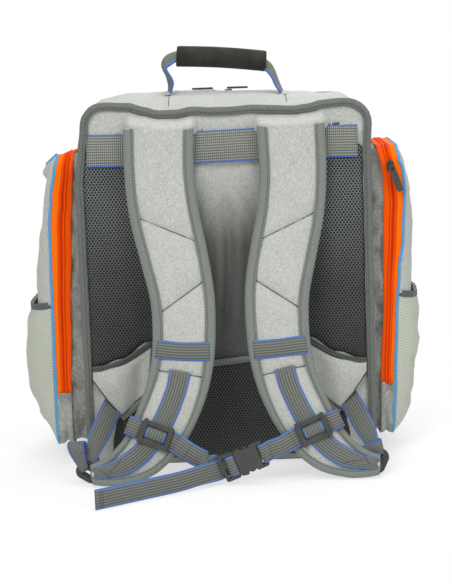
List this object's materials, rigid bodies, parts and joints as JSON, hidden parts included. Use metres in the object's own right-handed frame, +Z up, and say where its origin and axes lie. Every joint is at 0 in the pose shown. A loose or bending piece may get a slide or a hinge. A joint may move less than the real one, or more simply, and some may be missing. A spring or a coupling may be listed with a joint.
{
  "type": "tackle backpack",
  "caption": "Boxy fishing tackle backpack with padded S-curved shoulder straps, chest buckle, zipped front door, zipped side pockets with mesh sleeves and a foam carry handle",
  "frame": {"origin": "on the floor under the middle of the main compartment", "axes": "+Z up, -Y the wearer side with the shoulder straps, +Y the front, +X to the right seen from the wearer side"},
  "size_m": [0.498, 0.4685, 0.5024],
  "materials": {
    "heather_fabric": "light grey heather polyester",
    "binding_fabric": "dark grey heather binding tape",
    "spacer_mesh": "black and grey air mesh",
    "base_fabric": "black coated fabric",
    "webbing": "ribbed grey webbing with blue edges",
    "blue_piping": "sky blue piping",
    "orange_zip": "orange zip tape",
    "grey_zip": "dark grey zip tape",
    "side_mesh": "pale grey pocket mesh",
    "grip_foam": "closed cell foam grip",
    "buckle_plastic": "black acetal",
    "slider_metal": "black painted zip slider",
    "frame_sheet": "polyethylene sheet"
  },
  "bodies": {
    "bag": {"back_panel": "heather_fabric", "back_frame_sheet": "frame_sheet", "base_board": "frame_sheet", "top_panel": "heather_fabric", "side_panels": "heather_fabric", "base_panel": "base_fabric", "kick_panel": "heather_fabric", "back_piping": "binding_fabric", "main_zip_inner_tape": "grey_zip", "air_pads": "spacer_mesh", "lumbar_pad": "spacer_mesh", "lumbar_band": "heather_fabric", "yoke_webbing": "webbing", "handle_anchors": "webbing", "left_pocket_gusset": "heather_fabric", "right_pocket_gusset": "heather_fabric", "pocket_inner_tapes": "orange_zip", "lower_webbings": "webbing"},
    "door": {"main_zip_outer_tape": "grey_zip", "front_gusset": "heather_fabric", "front_panel": "heather_fabric", "front_piping": "blue_piping", "front_pocket": "heather_fabric", "front_pocket_zip": "grey_zip"},
    "handle": {"handle_webbing": "webbing", "handle_grip": "grip_foam"},
    "male_half": {"buckle_male": "buckle_plastic", "buckle_prongs": "buckle_plastic", "chest_tail": "webbing"},
    "front_runner": {"front_pocket_slider": "slider_metal"},
    "front_tab": {"front_pocket_pull": "buckle_plastic"},
    "left_flap": {"left_pocket_panel": "heather_fabric", "left_pocket_outer_tape": "orange_zip", "left_pocket_piping": "blue_piping", "left_mesh_pocket": "side_mesh"},
    "left_strap": {"left_strap_pad": "heather_fabric", "left_strap_binding": "binding_fabric", "left_strap_webbing": "webbing", "left_chest_webbing": "webbing"},
    "left_chest_runner": {"left_chest_slider": "buckle_plastic"},
    "left_lock": {"left_ladder_lock": "buckle_plastic"},
    "main_left_runner": {"main_zip_left_slider": "slider_metal"},
    "main_left_tab": {"main_zip_left_pull": "buckle_plastic"},
    "left_pocket_runner": {"left_pocket_slider": "slider_metal"},
    "left_pocket_tab": {"left_pocket_pull": "buckle_plastic"},
    "right_flap": {"right_pocket_panel": "heather_fabric", "right_pocket_outer_tape": "orange_zip", "right_pocket_piping": "blue_piping", "right_mesh_pocket": "side_mesh"},
    "right_strap": {"right_strap_pad": "heather_fabric", "right_strap_binding": "binding_fabric", "right_strap_webbing": "webbing", "right_chest_webbing": "webbing", "buckle_female": "buckle_plastic"},
    "right_chest_runner": {"right_chest_slider": "buckle_plastic"},
    "right_lock": {"right_ladder_lock": "buckle_plastic"},
    "main_right_runner": {"main_zip_right_slider": "slider_metal"},
    "main_right_tab": {"main_zip_right_pull": "buckle_plastic"},
    "right_pocket_runner": {"right_pocket_slider": "slider_metal"},
    "right_pocket_tab": {"right_pocket_pull": "buckle_plastic"}
  },
  "joints": [
    {"name": "door_fold", "type": "hinge", "parent": "bag", "child": "door", "pos_m": [0, 0.1202, 0.06], "axis": [-1, 0, 0], "range_deg": [0, 88]},
    {"name": "handle_fold", "type": "hinge", "parent": "bag", "child": "handle", "pos_m": [0.003, -0.025, 0.4495], "axis": [1, 0, 0], "range_deg": [-60, 60], "stiffness_Nm_per_rad": 0.08},
    {"name": "left_pocket_fold", "type": "hinge", "parent": "bag", "child": "left_flap", "pos_m": [-0.215, -0.025, 0.026], "axis": [0, -1, 0], "range_deg": [0, 25]},
    {"name": "left_strap_swing", "type": "hinge", "parent": "bag", "child": "left_strap", "pos_m": [-0.074, -0.128, 0.412], "axis": [-1, 0, 0], "range_deg": [0, 25], "deforming": ["lower_webbings"]},
    {"name": "left_chest_slide", "type": "slide", "parent": "left_strap", "child": "left_chest_runner", "axis": [0.3858, 0.2377, 0.8914], "range_m": [-0.01, 0.012], "deforming": ["left_chest_webbing"]},
    {"name": "left_lock_tilt", "type": "hinge", "parent": "left_strap", "child": "left_lock", "pos_m": [-0.16606, -0.1946, 0.01971], "axis": [0.848, 0, -0.5299], "range_deg": [0, 25]},
    {"name": "main_zip_left", "type": "slide", "parent": "bag", "child": "main_left_runner", "axis": [-1, 0, 0], "range_m": [0, 0.13]},
    {"name": "main_pull_left", "type": "hinge", "parent": "main_left_runner", "child": "main_left_tab", "pos_m": [-0.01, 0.0723, 0.4452], "axis": [0, 1, 0], "range_deg": [0, 85]},
    {"name": "left_pocket_zip", "type": "slide", "parent": "bag", "child": "left_pocket_runner", "axis": [0, 0, -1], "range_m": [0, 0.255]},
    {"name": "left_pocket_pull_swing", "type": "hinge", "parent": "left_pocket_runner", "child": "left_pocket_tab", "pos_m": [-0.2005, 0.0612, 0.354], "axis": [1, 0, 0], "range_deg": [0, 140]},
    {"name": "right_pocket_fold", "type": "hinge", "parent": "bag", "child": "right_flap", "pos_m": [0.215, -0.025, 0.026], "axis": [0, 1, 0], "range_deg": [0, 25]},
    {"name": "right_strap_swing", "type": "hinge", "parent": "bag", "child": "right_strap", "pos_m": [0.08, -0.128, 0.412], "axis": [-1, 0, 0], "range_deg": [0, 25], "deforming": ["lower_webbings"]},
    {"name": "right_chest_slide", "type": "slide", "parent": "right_strap", "child": "right_chest_runner", "axis": [-0.3858, 0.2377, 0.8914], "range_m": [-0.01, 0.012], "deforming": ["right_chest_webbing"]},
    {"name": "right_lock_tilt", "type": "hinge", "parent": "right_strap", "child": "right_lock", "pos_m": [0.16406, -0.1946, 0.01824], "axis": [0.4067, 0, 0.9135], "range_deg": [0, 25]},
    {"name": "main_zip_right", "type": "slide", "parent": "bag", "child": "main_right_runner", "axis": [1, 0, 0], "range_m": [0, 0.13]},
    {"name": "main_pull_right", "type": "hinge", "parent": "main_right_runner", "child": "main_right_tab", "pos_m": [0.01, 0.0723, 0.4452], "axis": [0, -1, 0], "range_deg": [0, 85]},
    {"name": "right_pocket_zip", "type": "slide", "parent": "bag", "child": "right_pocket_runner", "axis": [0, 0, -1], "range_m": [0, 0.255]},
    {"name": "right_pocket_pull_swing", "type": "hinge", "parent": "right_pocket_runner", "child": "right_pocket_tab", "pos_m": [0.2005, -0.1112, 0.354], "axis": [-1, 0, 0], "range_deg": [0, 140]},
    {"name": "buckle_release", "type": "slide", "parent": "left_strap", "child": "male_half", "axis": [-0.9336, 0, -0.3584], "range_m": [0, 0.028], "deforming": ["buckle_prongs", "left_chest_webbing"]},
    {"name": "front_pocket_zip", "type": "slide", "parent": "door", "child": "front_runner", "axis": [1, 0, 0], "range_m": [0, 0.155]},
    {"name": "front_pull_swing", "type": "hinge", "parent": "front_runner", "child": "front_tab", "pos_m": [-0.079, 0.13764, 0.30725], "axis": [0, 0.9719, -0.2356], "range_deg": [0, 140]}
  ],
  "couplings": [
    {"joint": "right_strap_swing", "follows": "left_strap_swing", "ratio": 1}
  ]
}
